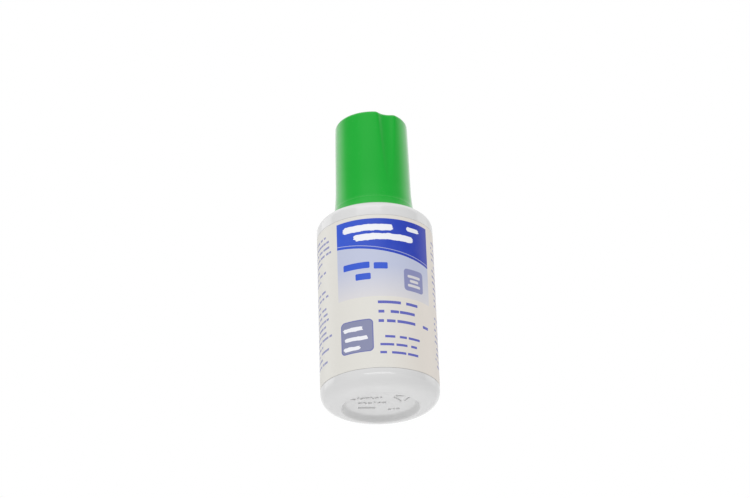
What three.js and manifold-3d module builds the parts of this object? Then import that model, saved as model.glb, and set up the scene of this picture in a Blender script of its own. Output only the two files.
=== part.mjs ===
// Correction fluid bottle of 20 ml, with a tall screw cap that carries a brush.
// Millimetres, +Z up. The origin is the centre of the ring that the bottle stands on.
import * as THREE from 'three';
import { mergeVertices } from 'three/addons/utils/BufferGeometryUtils.js';
import Module from 'manifold-3d';

const wasm = await Module();
wasm.setup();

// Facets round each piece and along each rounded edge
const bodyFacets = 48;
const neckFacets = 32;
const wandFacets = 20;
const ballFacets = 16;
const edgeSteps = 4;
const threadSides = 8;
const threadStepsPerTurn = 28;
const facetTurn = 1.0; // degrees from +X to the first corner of each turned piece

// Clearances
const seatGap = 0.25; // between a piece and what it rests on
const fitGap = 0.2; // round a piece that is pushed into another

// Bottle body
const bodyRadius = 14.5;
const wall = 1.0;
const heelHeight = 4.2;
const heelInset = 4.1;
const footWidth = 0.8; // flat ring that the bottle stands on
const pushUp = 1.6; // how far the middle of the base is raised
const pushUpSlope = 1.1; // width of the slope round it
const shoulderHeight = 49.5;
const shoulderDrop = 2.5;
const shoulderInset = 2.8;
const shoulderRise = 0.5; // from the shoulder's edge to the root of the neck

// Label and the shallow panel that it lies in
const labelBottom = 4.9;
const labelHeight = 40.0;
const labelThickness = 0.15;
const labelGap = 0.1;
const panelMargin = 0.25;

// Neck and its thread
const neckRadius = 5.9;
const neckWall = 1.1;
const neckHeight = 10.0;
const neckFillet = 0.8;
const rimBevel = 0.3;
const threadPitch = 3.0;
const threadTurns = 1.5;
const threadRound = 0.75; // radius of the round ridge
const threadGap = 0.3;
const threadDrop = 2.4; // from the rim to the upper end of the neck's ridge
const threadSink = 0.25; // how far each end of the ridge sinks into its wall
const threadFade = 0.08; // share of the ridge's length that sinks at each end

// Wiper in the neck
const flangeThickness = 0.8;
const wiperWall = 0.9;
const wiperDepth = 7.0;
const lipThickness = 0.5;
const lipSlope = 1.4;
const lipHole = 2.35;

// Cap: threaded closure, sealing ring and outer shell
const linerThickness = 1.0;
const closureWall = 1.05;
const webThickness = 1.2;
const closureLift = 0.6; // lower edge above the root of the neck
const collarHeight = 2.2;
const collarWall = 0.8;
const capHeight = 27.55;
const capWall = 1.2;
const capTopWall = 1.1;
const capTaper = 0.2; // how much narrower the top is than the waist
const capEdge = 1.1; // rounding of the top
const skirtHeight = 2.7;
const skirtFlare = 1.5; // how far the skirt stands out from the waist
const ledge = 0.12;
const flareHeight = 4.4; // from the ledge up to the waist
const flare = 0.5; // radius that it adds at the ledge

// Scooped flute in the cap, for the thumb
const fluteRadius = 3.3;
const fluteDepth = 1.45;
const fluteLength = 18.0;
const fluteWall = 0.6; // thickness of the shell behind the flute
const fluteAngle = -64.0; // degrees from +X
const barReach = 1.3; // length of the bar that cuts the flute, over the flute's own

// Wand, its anchor and the bristles
const wandRadius = 1.9;
const wandTipRadius = 1.75;
const headRadius = 3.2;
const headHeight = 1.6;
const beadRadius = 2.3;
const beadHeight = 0.6;
const socketRadius = 1.3;
const socketDepth = 4.0;
const anchorThickness = 0.35;
const anchorHeight = 1.4;
const tuftLength = 11.8; // below the end of the wand
const tuftTipRadius = 1.54;
const tuftRounding = 1.3; // height of the rounded tip
const tuftFloorGap = 1.65; // from the tip to the raised floor of the bottle

// Mixing ball
const ballRadius = 2.4;
const ballAngle = 90.0; // degrees from +X
const ballProbes = 10; // points tried along each line of the bottle's inside

const degrees = Math.PI / 180;

// Places that follow from the sizes
const footOuter = bodyRadius - heelInset;
const footInner = footOuter - footWidth;
const panelRadius = bodyRadius - labelThickness - labelGap;
const innerRadius = panelRadius - wall;
const labelTop = labelBottom + labelHeight;
const shoulderRadius = bodyRadius - shoulderInset;
const neckRoot = shoulderHeight + shoulderRise;
const neckTop = neckRoot + neckHeight;
const neckThreadStart = neckTop - threadDrop - threadPitch * threadTurns;
const boreRadius = neckRadius - neckWall;
const filletRadius = neckRadius + neckFillet;
const flangeBottom = neckTop + seatGap;
const flangeTop = flangeBottom + flangeThickness;
const linerBottom = flangeTop + seatGap;
const linerTop = linerBottom + linerThickness;
const webBottom = linerTop + seatGap;
const webTop = webBottom + webThickness;
const closureRoot = neckRadius + threadRound + threadGap;
const closureRadius = closureRoot + closureWall;
const closureBase = neckRoot + closureLift;
const waistRadius = closureRadius + fitGap + capWall;
const topRadius = waistRadius - capTaper;
const skirtRadius = waistRadius + skirtFlare;
const capBase = shoulderHeight + shoulderRise * (shoulderRadius - Math.min(skirtRadius - capWall, shoulderRadius))
  / (shoulderRadius - filletRadius) + seatGap;
const capTop = capBase + capHeight;
const capLedge = capBase + skirtHeight;
const tuftEnd = pushUp + wall + tuftFloorGap;
const wandEnd = tuftEnd + tuftLength;
const socketTop = wandEnd + socketDepth;
const headBottom = webTop + seatGap;
const anchorTop = socketTop - fitGap;
const rootTop = anchorTop - anchorHeight - fitGap;
const tuftRadius = socketRadius - fitGap;

// Points of a quarter ellipse or other arc in a profile, both ends included.
function arc(centreR, centreZ, radiusR, radiusZ, fromDegrees, toDegrees, steps = edgeSteps) {
  return Array.from({ length: steps + 1 }, (_, i) => {
    const angle = (fromDegrees + ((toDegrees - fromDegrees) * i) / steps) * degrees;
    return [centreR + radiusR * Math.cos(angle), centreZ + radiusZ * Math.sin(angle)];
  });
}

// Points of a smooth bend in a profile, from one end to the other past a guide point
function curve(start, guide, end) {
  const [a, b, c] = [start, guide, end].map(([r, z]) => new THREE.Vector2(r, z));
  return new THREE.QuadraticBezierCurve(a, b, c).getPoints(edgeSteps).map((p) => [p.x, p.y]);
}

// Turns a profile of [radius, height] points round the Z axis.
function turned(profile, facets) {
  const points = profile.map(([r, z]) => new THREE.Vector2(r, z));
  return new THREE.LatheGeometry(points, facets, facetTurn * degrees).rotateX(Math.PI / 2);
}

function turnedRing(profile, facets) {
  return turned([...profile, profile[0]], facets);
}

// A closed geometry as a solid that can be joined and cut.
function toSolid(geometry) {
  const bare = geometry.clone();
  bare.deleteAttribute('normal');
  bare.deleteAttribute('uv');
  const merged = mergeVertices(bare);
  const index = merged.index.array;
  const corners = [];
  for (let i = 0; i < index.length; i += 3) {
    const [a, b, c] = index.slice(i, i + 3);
    if (a !== b && b !== c && c !== a) corners.push(a, b, c);
  }
  return new wasm.Manifold(new wasm.Mesh({
    numProp: 3,
    vertProperties: new Float32Array(merged.attributes.position.array),
    triVerts: new Uint32Array(corners),
  }));
}

function toGeometry(solid) {
  const mesh = solid.getMesh();
  const geometry = new THREE.BufferGeometry();
  geometry.setAttribute('position', new THREE.BufferAttribute(mesh.vertProperties, 3));
  geometry.setIndex(new THREE.BufferAttribute(mesh.triVerts, 1));
  geometry.computeVertexNormals();
  return geometry;
}

// Centre line of a screw thread whose two ends sink into the wall that carries it.
class ThreadLine extends THREE.Curve {
  constructor(radius, startZ, sink) {
    super();
    Object.assign(this, { radius, startZ, sink });
  }

  getPoint(t, target = new THREE.Vector3()) {
    const nearEnd = Math.min(t, 1 - t) / threadFade;
    const radius = this.radius + this.sink * Math.max(0, 1 - nearEnd) ** 2;
    const angle = 2 * Math.PI * threadTurns * t;
    return target.set(radius * Math.cos(angle), radius * Math.sin(angle),
      this.startZ + threadPitch * threadTurns * t);
  }
}

function threadRidge(radius, startZ, sink) {
  const section = new THREE.Shape().absarc(0, 0, threadRound, 0, 2 * Math.PI);
  return toSolid(new THREE.ExtrudeGeometry(section, {
    extrudePath: new ThreadLine(radius, startZ, sink),
    steps: Math.round(threadStepsPerTurn * threadTurns),
    curveSegments: threadSides / 2,
    bevelEnabled: false,
  }));
}

// Inside of the bottle, from the neck's rim down to the middle of the floor
const bottleInside = [
  [boreRadius, neckTop],
  [boreRadius, neckRoot - wall],
  ...arc(shoulderRadius, shoulderHeight - shoulderDrop, innerRadius - shoulderRadius,
    shoulderDrop - wall, 90, 0),
  ...arc(footOuter, heelHeight, innerRadius - footOuter, heelHeight - wall, 0, -90),
  [footInner - wall / 2, wall],
  [footInner - pushUpSlope - wall / 2, pushUp + wall],
  [0, pushUp + wall],
];

function makeBottle() {
  const panelBottom = labelBottom - panelMargin;
  const panelTop = labelTop + panelMargin;
  const panelStep = bodyRadius - panelRadius;
  const outside = [
    [0, pushUp],
    [footInner - pushUpSlope, pushUp],
    [footInner, 0],
    ...arc(footOuter, heelHeight, heelInset, heelHeight, -90, 0, edgeSteps + 2),
    [bodyRadius, panelBottom - panelStep],
    [panelRadius, panelBottom],
    [panelRadius, panelTop],
    [bodyRadius, panelTop + panelStep],
    ...arc(shoulderRadius, shoulderHeight - shoulderDrop, shoulderInset, shoulderDrop, 0, 90, edgeSteps + 1),
    ...arc(filletRadius, neckRoot + neckFillet, neckFillet, neckFillet, 270, 180, edgeSteps - 1),
    [neckRadius, neckTop - rimBevel],
    [neckRadius - rimBevel, neckTop],
  ];
  const body = toSolid(turned([...outside, ...bottleInside], bodyFacets));
  return toGeometry(body.add(threadRidge(neckRadius, neckThreadStart, -threadSink)));
}

function makeLabel() {
  return turnedRing([
    [panelRadius + labelGap, labelBottom],
    [bodyRadius, labelBottom],
    [bodyRadius, labelTop],
    [panelRadius + labelGap, labelTop],
  ], bodyFacets);
}

function makeWiper() {
  const barrelRadius = boreRadius - fitGap;
  const barrelInner = barrelRadius - wiperWall;
  const lipBottom = neckTop - wiperDepth;
  return turnedRing([
    [lipHole, lipBottom],
    [barrelRadius - wiperWall / 2, lipBottom],
    [barrelRadius, lipBottom + wiperWall],
    [barrelRadius, flangeBottom],
    [neckRadius, flangeBottom],
    [neckRadius, flangeTop],
    [barrelInner, flangeTop],
    [barrelInner, lipBottom + lipThickness + lipSlope],
    [lipHole, lipBottom + lipThickness],
  ], neckFacets);
}

function makeLiner() {
  const linerInner = wandRadius + seatGap;
  return turnedRing([
    [linerInner, linerBottom],
    [neckRadius, linerBottom],
    [neckRadius, linerTop],
    [linerInner, linerTop],
  ], neckFacets);
}

// Threaded cup with a web across its top and a collar round the head of the wand
function makeClosure() {
  const webHole = wandRadius + fitGap;
  const collarInner = headRadius + fitGap;
  const collarOuter = collarInner + collarWall;
  const cup = toSolid(turnedRing([
    [webHole, webTop],
    [webHole, webBottom],
    [closureRoot, webBottom],
    [closureRoot, closureBase],
    [closureRadius, closureBase],
    [closureRadius, webTop],
    [collarOuter, webTop],
    [collarOuter, webTop + collarHeight],
    [collarInner, webTop + collarHeight],
    [collarInner, webTop],
  ], neckFacets));
  const ridge = threadRidge(closureRoot, neckThreadStart - threadPitch / 2, threadSink);
  return toGeometry(cup.add(ridge));
}

// A tilted round bar whose side touches the cap low down and cuts in towards the top
function fluteBar(radius) {
  const lowZ = capTop - fluteLength;
  const lowRadius = waistRadius + fluteRadius;
  const highRadius = topRadius + fluteRadius - fluteDepth;
  const low = new THREE.Vector3(lowRadius, 0, lowZ);
  const along = new THREE.Vector3(highRadius, 0, capTop).sub(low).multiplyScalar(barReach);
  const bar = new THREE.CylinderGeometry(radius, radius, along.length(), 2 * wandFacets);
  const middle = low.addScaledVector(along, 1 / 2);
  const turn = new THREE.Quaternion().setFromUnitVectors(new THREE.Vector3(0, 1, 0), along.normalize());
  bar.applyQuaternion(turn).translate(middle.x, middle.y, middle.z).rotateZ(fluteAngle * degrees);
  return toSolid(bar);
}

function makeCapShell() {
  const ledgeRadius = waistRadius + flare;
  const outside = [
    [0, capBase],
    ...curve([skirtRadius, capBase], [ledgeRadius + ledge + (skirtFlare - flare) / 3, capBase + skirtHeight / 2],
      [ledgeRadius + ledge, capLedge]),
    ...curve([ledgeRadius, capLedge + ledge], [waistRadius, capLedge + flareHeight / 3],
      [waistRadius, capLedge + flareHeight]),
    ...arc(topRadius - capEdge, capTop - capEdge, capEdge, capEdge, 0, 90, edgeSteps - 1),
    [0, capTop],
  ];
  const cavity = [
    [0, capBase - seatGap],
    [skirtRadius - capWall, capBase - seatGap],
    [skirtRadius - capWall, capBase],
    [waistRadius - capWall, capLedge],
    [waistRadius - capWall, webTop + fitGap],
    [topRadius - capWall, capTop - capTopWall],
    [0, capTop - capTopWall],
  ];
  const hollow = toSolid(turned(cavity, bodyFacets)).subtract(fluteBar(fluteRadius + fluteWall));
  const shell = toSolid(turned(outside, bodyFacets)).subtract(fluteBar(fluteRadius)).subtract(hollow);
  return toGeometry(shell);
}

function makeWand() {
  const beadTop = linerBottom - seatGap / 2;
  return turned([
    [0, socketTop],
    [socketRadius, socketTop],
    [socketRadius, wandEnd],
    [wandTipRadius, wandEnd],
    [wandTipRadius, socketTop],
    [wandRadius, neckRoot],
    [wandRadius, beadTop - beadHeight],
    [beadRadius, beadTop - beadHeight / 2],
    [wandRadius, beadTop],
    [wandRadius, headBottom],
    [headRadius, headBottom],
    [headRadius, headBottom + headHeight],
    [0, headBottom + headHeight],
  ], wandFacets);
}

function makeAnchor() {
  const half = Math.sqrt(tuftRadius ** 2 - (anchorThickness / 2) ** 2);
  const bevel = anchorThickness / 2;
  const plate = new THREE.Shape([
    new THREE.Vector2(-half, bevel),
    new THREE.Vector2(-half + bevel, 0),
    new THREE.Vector2(half - bevel, 0),
    new THREE.Vector2(half, bevel),
    new THREE.Vector2(half, anchorHeight),
    new THREE.Vector2(-half, anchorHeight),
  ]);
  const geometry = new THREE.ExtrudeGeometry(plate, { depth: anchorThickness, bevelEnabled: false });
  return geometry.translate(0, 0, -anchorThickness / 2).rotateX(Math.PI / 2);
}

// The tuft as one body: a bound root and a loose end that spreads to a rounded tip
function makeBristles() {
  return turned([
    ...arc(0, tuftEnd + tuftRounding, tuftTipRadius, tuftRounding, 270, 360),
    [tuftRadius, wandEnd + fitGap],
    [tuftRadius, rootTop],
    [0, rootTop],
  ], wandFacets);
}

// Lowest height at which the ball, with a gap round it, clears the inside of the bottle
function ballRest(orbit) {
  const reach = ballRadius + seatGap;
  let height = 0;
  bottleInside.forEach(([r1, z1], i) => {
    const [r2, z2] = bottleInside[Math.min(i + 1, bottleInside.length - 1)];
    for (let probe = 0; probe <= ballProbes; probe++) {
      const share = probe / ballProbes;
      const across = Math.abs(r1 + (r2 - r1) * share - orbit);
      const z = z1 + (z2 - z1) * share;
      const low = z < heelHeight + ballRadius;
      if (low && across < reach) height = Math.max(height, z + Math.sqrt(reach ** 2 - across ** 2));
    }
  });
  return height;
}

const materials = {
  bottleWhite: { color: 0xe4e6ea, roughness: 0.38, metalness: 0 },
  labelPaper: { color: 0xe2e0dc, roughness: 0.45, metalness: 0 },
  capGreen: { color: 0x2eac45, roughness: 0.35, metalness: 0 },
  closureWhite: { color: 0xf0f0ec, roughness: 0.45, metalness: 0 },
  linerFoam: { color: 0xf4f4f2, roughness: 0.8, metalness: 0 },
  wiperClear: { color: 0xdfe6e8, roughness: 0.3, metalness: 0 },
  wandWhite: { color: 0xf2f2ee, roughness: 0.4, metalness: 0 },
  anchorMetal: { color: 0xb9b4a6, roughness: 0.3, metalness: 1 },
  bristleNylon: { color: 0xefece2, roughness: 0.6, metalness: 0 },
  ballSteel: { color: 0xbfc3c8, roughness: 0.15, metalness: 1 },
};

const bottle = new THREE.Group();

function place(name, geometry, material) {
  const mesh = new THREE.Mesh(geometry, new THREE.MeshStandardMaterial(material));
  mesh.name = name;
  bottle.add(mesh);
  return mesh;
}

place('bottle', makeBottle(), materials.bottleWhite);
place('label', makeLabel(), materials.labelPaper);
place('neck_wiper', makeWiper(), materials.wiperClear);
place('cap_liner', makeLiner(), materials.linerFoam);
place('cap_shell', makeCapShell(), materials.capGreen);
place('cap_insert', makeClosure(), materials.closureWhite);
place('brush_wand', makeWand(), materials.wandWhite);
place('bristle_anchor', makeAnchor(), materials.anchorMetal).position.z = anchorTop - anchorHeight;
place('brush_bristles', makeBristles(), materials.bristleNylon);

const ballOrbit = innerRadius - ballRadius - seatGap;
const ball = place('mixing_ball', new THREE.SphereGeometry(ballRadius, ballFacets, ballFacets / 2),
  materials.ballSteel);
ball.rotation.x = Math.PI / 2;
ball.position.set(ballOrbit * Math.cos(ballAngle * degrees), ballOrbit * Math.sin(ballAngle * degrees),
  ballRest(ballOrbit));

export default bottle;
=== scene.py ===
import functools
import math
import random

import bpy
from mathutils import Matrix, Vector


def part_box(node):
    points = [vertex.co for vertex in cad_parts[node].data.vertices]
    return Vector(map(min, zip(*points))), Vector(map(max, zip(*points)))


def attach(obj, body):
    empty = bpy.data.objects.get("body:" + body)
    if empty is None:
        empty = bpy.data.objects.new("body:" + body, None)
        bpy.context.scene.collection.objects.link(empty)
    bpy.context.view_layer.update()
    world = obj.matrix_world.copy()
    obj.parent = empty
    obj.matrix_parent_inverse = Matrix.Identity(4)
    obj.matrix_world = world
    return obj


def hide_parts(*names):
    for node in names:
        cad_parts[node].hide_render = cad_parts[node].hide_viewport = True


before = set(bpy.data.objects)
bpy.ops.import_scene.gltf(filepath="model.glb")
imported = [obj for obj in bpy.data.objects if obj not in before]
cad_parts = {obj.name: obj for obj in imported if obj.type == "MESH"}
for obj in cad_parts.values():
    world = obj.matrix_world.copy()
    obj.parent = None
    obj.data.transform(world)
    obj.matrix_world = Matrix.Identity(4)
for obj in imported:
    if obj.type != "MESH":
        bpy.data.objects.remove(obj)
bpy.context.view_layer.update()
mm = 0.001
mergeGap = 0.002 * mm


# Selection and editing helpers
def clearSelection():
    if bpy.context.object and bpy.context.object.mode != "OBJECT":
        bpy.ops.object.mode_set(mode="OBJECT")
    bpy.ops.object.select_all(action="DESELECT")


def makeActive(piece):
    clearSelection()
    piece.select_set(True)
    bpy.context.view_layer.objects.active = piece


def editPiece(piece, select="DESELECT"):
    makeActive(piece)
    bpy.ops.object.mode_set(mode="EDIT")
    bpy.ops.mesh.select_mode(type="VERT")
    bpy.ops.mesh.select_all(action=select)


def leaveEdit():
    bpy.ops.object.mode_set(mode="OBJECT")


def pickVertices(piece, test):
    # Opens edit mode with only those vertices selected that pass the test
    editPiece(piece)
    leaveEdit()
    for vertex in piece.data.vertices:
        vertex.select = test(vertex)
    bpy.ops.object.mode_set(mode="EDIT")


def applyPlace(piece):
    makeActive(piece)
    bpy.ops.object.transform_apply(location=True, rotation=True, scale=True)


def newest(name):
    # The primitive just added, with its place in its mesh
    piece = bpy.context.active_object
    piece.name = name
    applyPlace(piece)
    return piece


def addToScene(name, data):
    thing = bpy.data.objects.new(name, data)
    bpy.context.scene.collection.objects.link(thing)
    return thing


def joinPieces(pieces):
    clearSelection()
    for piece in pieces:
        piece.select_set(True)
    bpy.context.view_layer.objects.active = pieces[0]
    bpy.ops.object.join()
    return pieces[0]


def applyModifier(piece, kind, **settings):
    makeActive(piece)
    bpy.ops.object.modifier_add(type=kind)
    modifier = piece.modifiers[-1]
    for key, value in settings.items():
        setattr(modifier, key, value)
    bpy.ops.object.modifier_apply(modifier=modifier.name)


def bevelEdges(piece, width, segments=2, angle=40, **settings):
    applyModifier(piece, "BEVEL", width=width * mm, segments=segments, limit_method="ANGLE",
                  angle_limit=math.radians(angle), **settings)


def tidyMesh(piece):
    editPiece(piece, "SELECT")
    bpy.ops.mesh.remove_doubles(threshold=mergeGap)
    bpy.ops.mesh.normals_make_consistent(inside=False)
    leaveEdit()


def smoothPiece(piece, angle=34):
    makeActive(piece)
    bpy.ops.object.shade_smooth_by_angle(angle=math.radians(angle))


def combine(piece, tool, operation="DIFFERENCE"):
    applyModifier(piece, "BOOLEAN", operation=operation, object=tool, solver="EXACT")
    bpy.data.objects.remove(tool)
    tidyMesh(piece)


# Outlines are lists of radius and height in millimetres
def arcPoints(centreR, centreZ, radiusR, radiusZ, fromAngle, toAngle, steps):
    points = []
    for i in range(steps + 1):
        angle = math.radians(fromAngle + (toAngle - fromAngle) * i / steps)
        points.append((centreR + radiusR * math.cos(angle), centreZ + radiusZ * math.sin(angle)))
    return points


def bendPoints(start, leave, arrive, end, steps):
    # Smooth bend between two points, drawn towards the two in the middle
    points = []
    for i in range(steps + 1):
        s = i / steps
        shares = ((1 - s) ** 3, 3 * s * (1 - s) ** 2, 3 * s * s * (1 - s), s ** 3)
        corners = list(zip(shares, (start, leave, arrive, end)))
        points.append(tuple(sum(share * corner[k] for share, corner in corners) for k in (0, 1)))
    return points


def turnPiece(name, outline, sides):
    # A ring is added and pulled along the outline, one extrusion to a point. Both ends are capped,
    # unless the outline comes back to its start
    capped = outline[0] != outline[-1]
    clearSelection()
    r, z = outline[0]
    bpy.ops.mesh.primitive_circle_add(vertices=sides, radius=r * mm, location=(0, 0, z * mm))
    piece = newest(name)
    piece.data.name = name
    editPiece(piece, "SELECT")
    if capped:
        bpy.ops.mesh.edge_face_add()
        bpy.ops.mesh.select_mode(type="EDGE")
        bpy.ops.mesh.select_all(action="SELECT")
    for nextR, nextZ in outline[1:]:
        bpy.ops.mesh.extrude_edges_move(TRANSFORM_OT_translate={"value": (0, 0, (nextZ - z) * mm)})
        scale = nextR / r
        bpy.ops.transform.resize(value=(scale, scale, 1), center_override=(0, 0, nextZ * mm))
        r, z = nextR, nextZ
    if capped:
        bpy.ops.mesh.edge_face_add()
    leaveEdit()
    tidyMesh(piece)
    return piece


# Thread ridge shared by neck and closure
thread = {"pitch": 3.0, "turns": 1.5, "round": 0.75, "startZ": 53.1, "sides": 14, "stepsPerTurn": 72,
          "fadeSteps": 10, "sink": 0.5}


def threadRidge(name, radius, startZ, inwards):
    t = thread
    clearSelection()
    bpy.ops.mesh.primitive_circle_add(vertices=t["sides"], radius=t["round"] * mm,
                                      location=(radius * mm, 0, startZ * mm), rotation=(math.pi / 2, 0, 0))
    ridge = newest(name)
    steps = int(t["turns"] * t["stepsPerTurn"])
    applyModifier(ridge, "SCREW", angle=2 * math.pi * t["turns"], screw_offset=t["pitch"] * t["turns"] * mm,
                  steps=steps, render_steps=steps, axis="Z", use_merge_vertices=False)
    # The ends run out into the wall that carries the ridge
    rings = len(ridge.data.vertices) // t["sides"]
    for i in range(t["fadeSteps"]):
        sink = t["sink"] * (1 - i / t["fadeSteps"]) ** 2 * (1 if inwards else -1)
        for ring in (i, rings - 1 - i):
            own = range(ring * t["sides"], (ring + 1) * t["sides"])
            middle = sum((ridge.data.vertices[v].co for v in own), Vector()) / t["sides"]
            outwards = Vector((middle.x, middle.y, 0)).normalized()
            pickVertices(ridge, lambda vertex: vertex.index in own)
            bpy.ops.transform.translate(value=outwards * sink * mm)
            leaveEdit()
    editPiece(ridge)
    bpy.ops.mesh.select_non_manifold()
    bpy.ops.mesh.fill_holes(sides=0)
    bpy.ops.mesh.select_all(action="SELECT")
    bpy.ops.mesh.normals_make_consistent(inside=False)
    leaveEdit()
    return ridge


# Colours are written as the eye sees them, 0 to 255
def colour(red, green, blue):
    def linear(c):
        c /= 255
        return c / 12.92 if c <= 0.04045 else ((c + 0.055) / 1.055) ** 2.4
    return (linear(red), linear(green), linear(blue), 1)


def darker(tone, share):
    return tuple(c * share for c in tone[:3]) + (1,)


# Node helpers
def feed(tree, node, values):
    # An input is linked where its value is a socket, and set otherwise
    for key, value in values.items():
        if isinstance(value, bpy.types.NodeSocket):
            tree.links.new(value, node.inputs[key])
        elif value is not None:
            node.inputs[key].default_value = value


def addNode(tree, kind, values=None, **settings):
    node = tree.nodes.new(kind)
    for key, value in settings.items():
        setattr(node, key, value)
    feed(tree, node, values or {})
    return node


def mathNode(tree, operation, a, b=None, clamp=False):
    return addNode(tree, "ShaderNodeMath", {0: a, 1: b}, operation=operation, use_clamp=clamp).outputs[0]


def mathTools(tree, *operations):
    # A short function for each kind of math node in one tree
    return [functools.partial(mathNode, tree, operation) for operation in operations]


def mixColour(tree, factor, a, b):
    return addNode(tree, "ShaderNodeMix", {"Factor": factor, 6: a, 7: b}, data_type="RGBA").outputs[2]


def noiseAt(tree, place, scale, detail, output="Fac"):
    values = {"Vector": place, "Scale": scale, "Detail": detail}
    return addNode(tree, "ShaderNodeTexNoise", values).outputs[output]


def stretched(tree, place, scale, turn=(0, 0, 0), move=(0, 0, 0)):
    values = {"Vector": place, "Location": move, "Rotation": turn, "Scale": scale}
    return addNode(tree, "ShaderNodeMapping", values).outputs[0]


def splitPoint(tree, point):
    return addNode(tree, "ShaderNodeSeparateXYZ", {0: point}).outputs


def objectPoint(tree):
    return addNode(tree, "ShaderNodeTexCoord").outputs["Object"]


def bumpFrom(tree, height, strength, distance):
    values = {"Strength": strength, "Distance": distance * mm, "Height": height}
    return addNode(tree, "ShaderNodeBump", values).outputs[0]


def newGroup(name, inputs, outputs):
    # An input with no default is a vector, and one with four numbers a colour
    group = bpy.data.node_groups.new(name, "ShaderNodeTree")
    for label, default in inputs.items():
        kind = "Vector" if default is None else "Color" if isinstance(default, tuple) else "Float"
        socket = group.interface.new_socket(name=label, in_out="INPUT", socket_type="NodeSocket" + kind)
        if default is not None:
            socket.default_value = default
    for label, kind in outputs.items():
        group.interface.new_socket(name=label, in_out="OUTPUT", socket_type="NodeSocket" + kind)
    return group, group.nodes.new("NodeGroupInput").outputs, group.nodes.new("NodeGroupOutput")


def useGroup(tree, group, values):
    return addNode(tree, "ShaderNodeGroup", values, node_tree=group).outputs


# Moulded plastic: cloudy colour, fine grain, long flow marks and fine rubs, as colour, roughness and height
moulded = {"cloudScale": 140, "flowScale": 420, "flowStretch": (1, 1, 0.12), "grainScale": 5200,
           "grainShare": 0.05, "rubScale": 260, "rubStretch": (1, 14, 14), "rubTurn": (0.3, 0.5, 0.9),
           "rubLimit": 0.72, "rubCloud": 0.58, "rubTone": (0.85, 0.86, 0.85, 1), "rubShare": 0.25,
           "rubRoughness": 0.2, "bumpStrength": 0.6}


def makeMouldedGroup():
    m = moulded
    group, start, end = newGroup(
        "mouldedSkin",
        {"Point": None, "Colour": (0.8, 0.8, 0.8, 1), "Cloud": 0.03, "Gloss": 0.4, "Gloss Change": 0.08,
         "Flow": 0.3, "Scuffs": 0.3},
        {"Colour": "Color", "Roughness": "Float", "Height": "Float"})
    add, subtract, multiply, more = mathTools(group, "ADD", "SUBTRACT", "MULTIPLY", "GREATER_THAN")
    point = start["Point"]
    cloud = noiseAt(group, point, m["cloudScale"], 4)
    flow = noiseAt(group, stretched(group, point, m["flowStretch"]), m["flowScale"], 3)
    grain = noiseAt(group, point, m["grainScale"], 2)
    # Fine rubbed lines, seen only where the slow noise lets them through
    rubs = noiseAt(group, stretched(group, point, m["rubStretch"], turn=m["rubTurn"]), m["rubScale"], 1)
    scuff = multiply(multiply(more(rubs, m["rubLimit"]), more(cloud, m["rubCloud"])), start["Scuffs"])
    centred = subtract(cloud, 0.5)
    level = add(multiply(centred, start["Cloud"]), 1)
    tint = addNode(group, "ShaderNodeVectorMath", {0: start["Colour"], "Scale": level}, operation="SCALE")
    rough = add(start["Gloss"], multiply(centred, start["Gloss Change"]))
    feed(group, end, {
        "Colour": mixColour(group, multiply(scuff, m["rubShare"]), tint.outputs[0], m["rubTone"]),
        "Roughness": add(rough, multiply(scuff, m["rubRoughness"]), clamp=True),
        "Height": add(multiply(flow, start["Flow"]), multiply(grain, m["grainShare"]))})
    return group


# A rounded rectangle as a mask, in the units of the point
def makeShapeGroup():
    group, start, end = newGroup(
        "roundedShape",
        {"Point": None, "Middle X": 0, "Middle Y": 0, "Half Width": 1, "Half Height": 1, "Corner": 0.2,
         "Softness": 0.04},
        {"Mask": "Float"})
    add, subtract, multiply, larger = mathTools(group, "ADD", "SUBTRACT", "MULTIPLY", "MAXIMUM")
    point = splitPoint(group, start["Point"])
    legs = []
    for axis, middle, half in ((0, "Middle X", "Half Width"), (1, "Middle Y", "Half Height")):
        offset = mathNode(group, "ABSOLUTE", subtract(point[axis], start[middle]))
        legs.append(add(subtract(offset, start[half]), start["Corner"]))
    outX, outY = (larger(leg, 0) for leg in legs)
    far = mathNode(group, "SQRT", add(multiply(outX, outX), multiply(outY, outY)))
    near = mathNode(group, "MINIMUM", larger(*legs), 0)
    distance = subtract(add(far, near), start["Corner"])
    softened = mathNode(group, "DIVIDE", distance, start["Softness"])
    feed(group, end, {"Mask": subtract(0.5, softened, clamp=True)})
    return group


# Rows of short bars, broken at uneven places like the words of a paragraph
barRows = {"rowShift": 7.31, "wordShift": 31.7, "wordReach": 0.42, "ragged": 0.35}


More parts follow.
